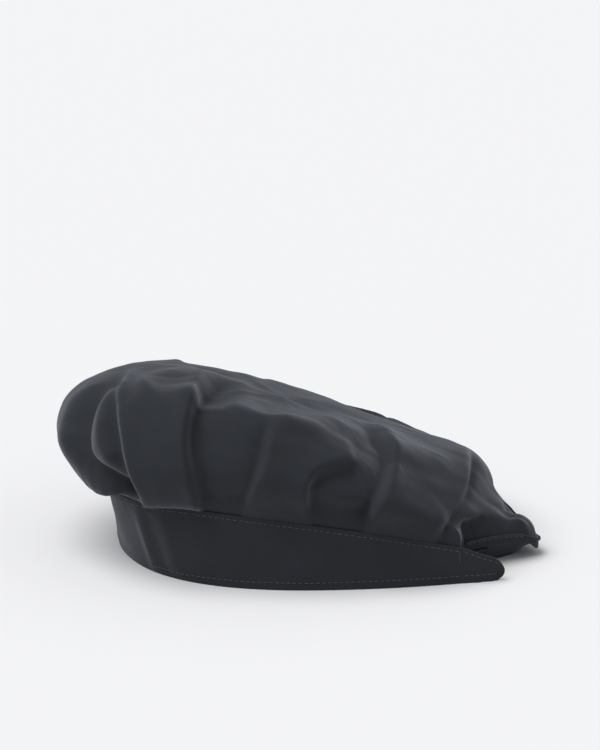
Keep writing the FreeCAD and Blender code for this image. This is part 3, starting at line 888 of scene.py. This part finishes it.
# the loop tape's stitches pull down into its pile, to this share of its thickness
STITCH_SEAT = 0.9
PILE_PITCH = 0.0013
PILE_REACH = 0.0009
FILAMENT = 0.00016
FILAMENT_SIDES = 5
# one hook and one loop: shares of their reach along the tape and of their rise above its ground
HOOK_BEND = [(0.0, 0.0), (0.0, 0.5), (0.12, 0.85), (0.35, 1.0), (0.55, 0.85), (0.58, 0.62)]
LOOP_BEND = [(0.0, 0.0), (-0.12, 0.45), (0.0, 0.85), (0.28, 1.0), (0.52, 0.8), (0.62, 0.4), (0.5, 0.0)]
# the shortest side that a cloth can be declared with
TAPE_LENGTH = TAB_REACH - HINGE_GAP - TAPE_START - TIP_ROUND
tape_low, tape_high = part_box("hook_tape")
TAPE_DEPTH = tape_high[2] - tape_low[2]
TAPE_MIDDLE = (tape_high[2] + tape_low[2]) / 2
TAPE_FOOT = TAPE_MIDDLE - TAPE_DEPTH / 2
HOOK_FACE = BAND_THICK + PLY_GAP
LOOP_FACE = THREAD_RISE + 2 * PLY_GAP


def moulded_nylon(name, colour):
    """Drawn nylon filament: smooth, slightly glossy, dyed black."""
    material, output = new_material(name)
    place = add_node(material, "ShaderNodeTexCoord").outputs["Object"]
    grain = add_node(material, "ShaderNodeTexNoise", {"Scale": 700.0, "Detail": 3.0}, {"Vector": place})
    tone = add_node(material, "ShaderNodeMix", {"data_type": "RGBA"}, {"Factor": grain.outputs["Fac"]})
    tone.inputs[6].default_value = linear(colour, 0.8)
    tone.inputs[7].default_value = linear(colour, 1.3)
    shader = add_node(material, "ShaderNodeBsdfPrincipled", {"Roughness": 0.42, "Specular IOR Level": 0.5},
                      {"Base Color": tone.outputs[2]})
    material.node_tree.links.new(shader.outputs[0], output.inputs["Surface"])
    return material


def filament(points, path):
    """Adds the points of one bent filament, which follows a short path."""
    for k, place in enumerate(path):
        along = path[min(k + 1, len(path) - 1)] - path[max(k - 1, 0)]
        along /= np.linalg.norm(along)
        side = np.cross(along, [0.0, 0.0, 1.0])
        side /= max(np.linalg.norm(side), 1e-6)
        up = np.cross(side, along)
        for turn in range(FILAMENT_SIDES):
            angle = 2 * math.pi * turn / FILAMENT_SIDES
            points.append(place + (side * math.cos(angle) + up * math.sin(angle)) * FILAMENT / 2)


def fastener_tape(name, place, first, bend, nylon, body, node):
    """A woven tape with rows of hooks or loops standing on it. place gives a point for a distance along,
    a height and a distance out of the cloth; bend is the shape of one hook or loop."""
    run = np.linspace(first, first + TAPE_LENGTH, 14)
    level = np.linspace(TAPE_FOOT, TAPE_MIDDLE + TAPE_DEPTH / 2, 9)[:, None]
    ground = shell(name, place(run, level + 0 * run, TAPE_BACK), place(run, level + 0 * run, 0.0))
    grid_shape = (level.shape[0], run.shape[0])
    lay_weave(ground, np.broadcast_to(run, grid_shape), np.broadcast_to(level, grid_shape))
    ground.data.materials.append(tape_weave)
    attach(ground, body)
    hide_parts(node)
    points = []
    faces = []
    columns = int(TAPE_LENGTH / PILE_PITCH)
    rows = int(TAPE_DEPTH / PILE_PITCH)
    for c in range(columns):
        for r in range(rows):
            at = first + (c + 0.5 + 0.25 * (r % 2)) * TAPE_LENGTH / (columns + 0.25)
            height = TAPE_FOOT + (r + 0.5) * TAPE_DEPTH / rows
            faces += tube_faces(len(points), len(bend), FILAMENT_SIDES)
            filament(points, [place(np.array(at + PILE_REACH * a), np.array(height),
                                    TAPE_BACK + (TAPE_THICK - TAPE_BACK) * b) for a, b in bend])
    pile = mesh_piece(name + "_pile", [tuple(p) for p in points], faces)
    pile.data.materials.append(nylon)
    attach(pile, body)


def inside_tab(run, height, rise):
    """Places on the inside of the tab, for the hooks."""
    return tab_place(run, height, HOOK_FACE + rise)


def outside_underlap(run, height, rise):
    """Places on the outside of the underlap, for the loops."""
    return band_place(1 - (END_INSET + run) / HEM_LENGTH, height, -LOOP_FACE - rise)


tape_weave = woven_cloth("woven_nylon_tape", "#1C1D20", "#26282B", 0.6, 0.0, 0.08, 0.10, 0.55)
hook_nylon = moulded_nylon("nylon_hook_filament", "#1B1C1F")
loop_nylon = moulded_nylon("nylon_loop_filament", "#232427")
fastener_tape("hook_tape_ground", inside_tab, TAPE_START + HINGE_GAP, HOOK_BEND, hook_nylon, "tab",
              "hook_tape")
fastener_tape("loop_tape_ground", outside_underlap, 0.0, LOOP_BEND, loop_nylon, "hat", "loop_tape")

loop_rows = []
for sign in (-1, 1):
    row_height = TAPE_MIDDLE + sign * (TAPE_DEPTH / 2 - TAPE_ROW)
    loop_rows += stitched_row(
        lambda run, sink, h=row_height: outside_underlap(run, h, TAPE_THICK * STITCH_SEAT - sink),
        TAPE_ROW, TAPE_LENGTH - TAPE_ROW)
loop_stitches = stitch_mesh("loop_tape_stitching", loop_rows, grey_thread)
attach(loop_stitches, "hat")
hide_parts("loop_stitching")

# The bar tacks.
# A dense bar of zigzag thread across the band's top edge at each end of the opening, where it is pulled.

TACK_LENGTH = 0.005
TACK_WIDTH = 0.0012
TACK_INSET = 0.0003
TACK_DROP = 0.0004
TACK_SLANT = 0.0002
TACK_THREADS = 14
tack_rows = []
for first in (TACK_INSET, HEM_LENGTH - TACK_INSET - TACK_WIDTH):
    tack_share = first / HEM_LENGTH
    tack_top = float(band_depth(np.array(tack_share))) - TOP_ROW - TACK_DROP
    tack_out = at_share(out_points, np.array(tack_share))
    for k in range(TACK_THREADS):
        height = tack_top - TACK_LENGTH * k / (TACK_THREADS - 1)
        start = band_place(tack_share, height, -SURFACE)
        end = band_place(tack_share + TACK_WIDTH / HEM_LENGTH, height - TACK_SLANT, -SURFACE)
        tack_rows.append((start, end, tack_out))
charcoal_thread = spun_thread("charcoal_polyester_thread", "#24272C")
tacks = stitch_mesh("bar_tack_threads", tack_rows, charcoal_thread)
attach(tacks, "hat")
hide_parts("bar_tacks")
